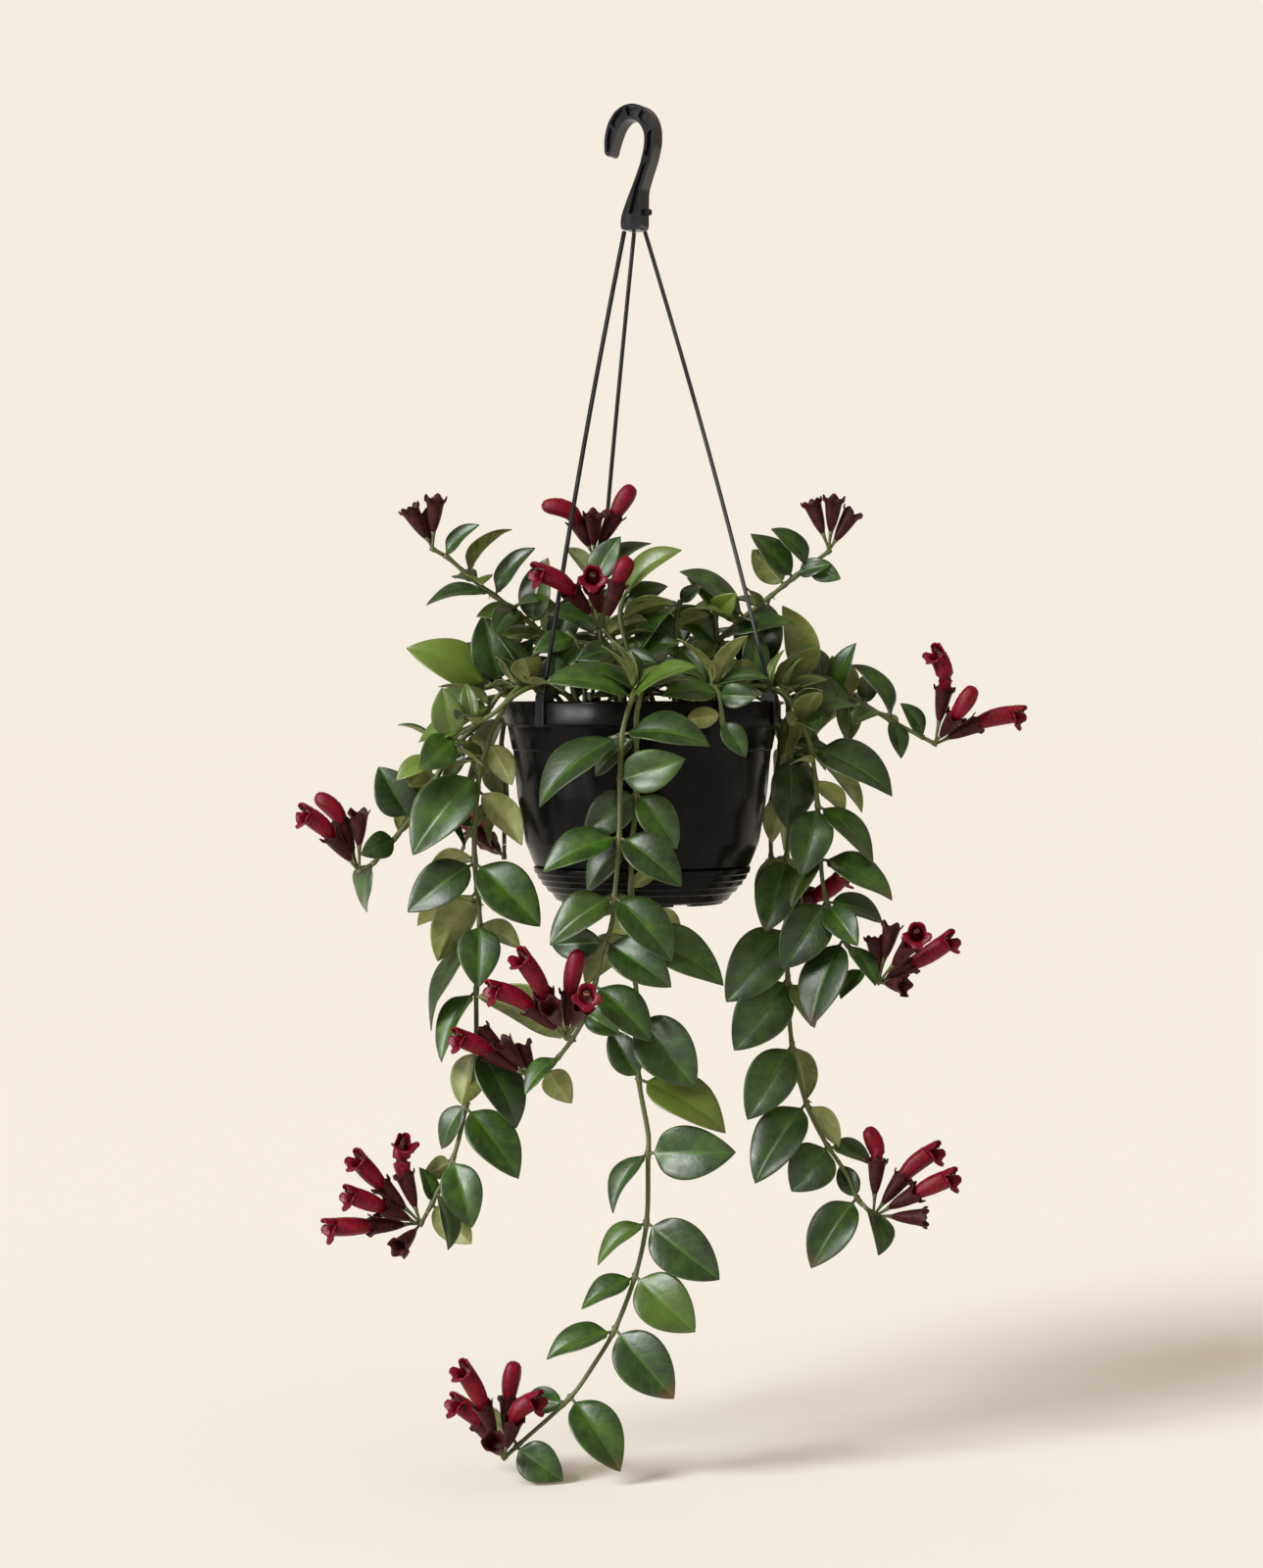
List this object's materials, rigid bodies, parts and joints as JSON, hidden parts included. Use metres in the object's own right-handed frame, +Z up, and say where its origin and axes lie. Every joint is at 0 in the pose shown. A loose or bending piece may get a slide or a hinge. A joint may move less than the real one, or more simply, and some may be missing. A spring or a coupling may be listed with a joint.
{
  "type": "hanging lipstick plant",
  "caption": "Trailing house plant with thick paired leaves and tubular crimson blooms, in a round hanging pot with a drip saucer and a three-legged moulded hanger.",
  "frame": {"origin": "inside top of the hook's crook, where the hanger bears on what holds it", "axes": "+Z up along the plant's height, front of the plant towards -Y"},
  "size_m": [0.4498, 0.2453, 0.8254],
  "materials": {
    "hanger": "satin moulded polypropylene",
    "pot": "satin moulded polypropylene",
    "soil": "damp crumbly peat",
    "foliage": "thick waxy leaf",
    "bloom": "velvety petal"
  },
  "bodies": {
    "root": {"bloom_back_left": "bloom", "bloom_back_right": "bloom", "bloom_centre": "bloom", "bloom_crown_front": "bloom", "bloom_crown_low": "bloom", "bloom_far_left": "bloom", "bloom_front": "bloom", "bloom_front_shoot": "bloom", "bloom_left": "bloom", "bloom_right": "bloom", "bloom_right_mid": "bloom", "bloom_right_trailing": "bloom", "bloom_upper_left": "bloom", "bloom_upper_right": "bloom", "drip_saucer": "pot", "hanger_hook": "hanger", "hanger_leg_back": "hanger", "hanger_leg_left": "hanger", "hanger_leg_right": "hanger", "pot": "pot", "potting_soil": "soil", "shoot_back": "foliage", "shoot_back_left": "foliage", "shoot_back_right": "foliage", "shoot_crown_left": "foliage", "shoot_crown_mid": "foliage", "shoot_crown_right": "foliage", "shoot_front_right": "foliage", "shoot_left_low": "foliage", "shoot_left_rim": "foliage", "stem_back": "foliage", "stem_back_left": "foliage", "stem_back_right": "foliage", "stem_centre": "foliage", "stem_crown_front": "foliage", "stem_crown_low": "foliage", "stem_far_left": "foliage", "stem_front": "foliage", "stem_left": "foliage", "stem_right": "foliage", "stem_right_mid": "foliage", "stem_right_trailing": "foliage", "stem_upper_left": "foliage", "stem_upper_right": "foliage"}
  },
  "joints": []
}
